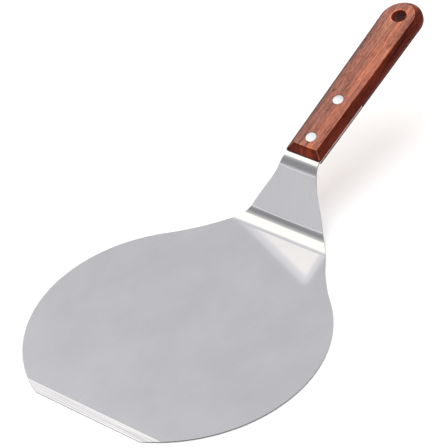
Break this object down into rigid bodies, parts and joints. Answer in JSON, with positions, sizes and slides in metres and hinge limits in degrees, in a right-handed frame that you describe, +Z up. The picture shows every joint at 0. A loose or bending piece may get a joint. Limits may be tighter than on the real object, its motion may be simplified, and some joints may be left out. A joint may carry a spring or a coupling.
{
  "type": "pizza peel",
  "caption": "Flat round steel pizza peel with a bevelled front edge, a raised narrowing neck and a riveted hardwood handle with a hanging hole.",
  "frame": {"origin": "centre of the round blade, on its underside", "axes": "+X along the object from the straight front edge to the handle, +Z up out of the blade's top face, +Y to the left"},
  "size_m": [0.4215, 0.229, 0.1032],
  "materials": {
    "steel_sheet": "satin stainless",
    "hardwood": "oiled reddish hardwood",
    "rivet_metal": "bright, lightly polished"
  },
  "bodies": {
    "root": {"blade": "steel_sheet", "handle": "hardwood", "front_rivet_socket": "rivet_metal", "front_rivet_post": "rivet_metal", "rear_rivet_socket": "rivet_metal", "rear_rivet_post": "rivet_metal"}
  },
  "joints": []
}
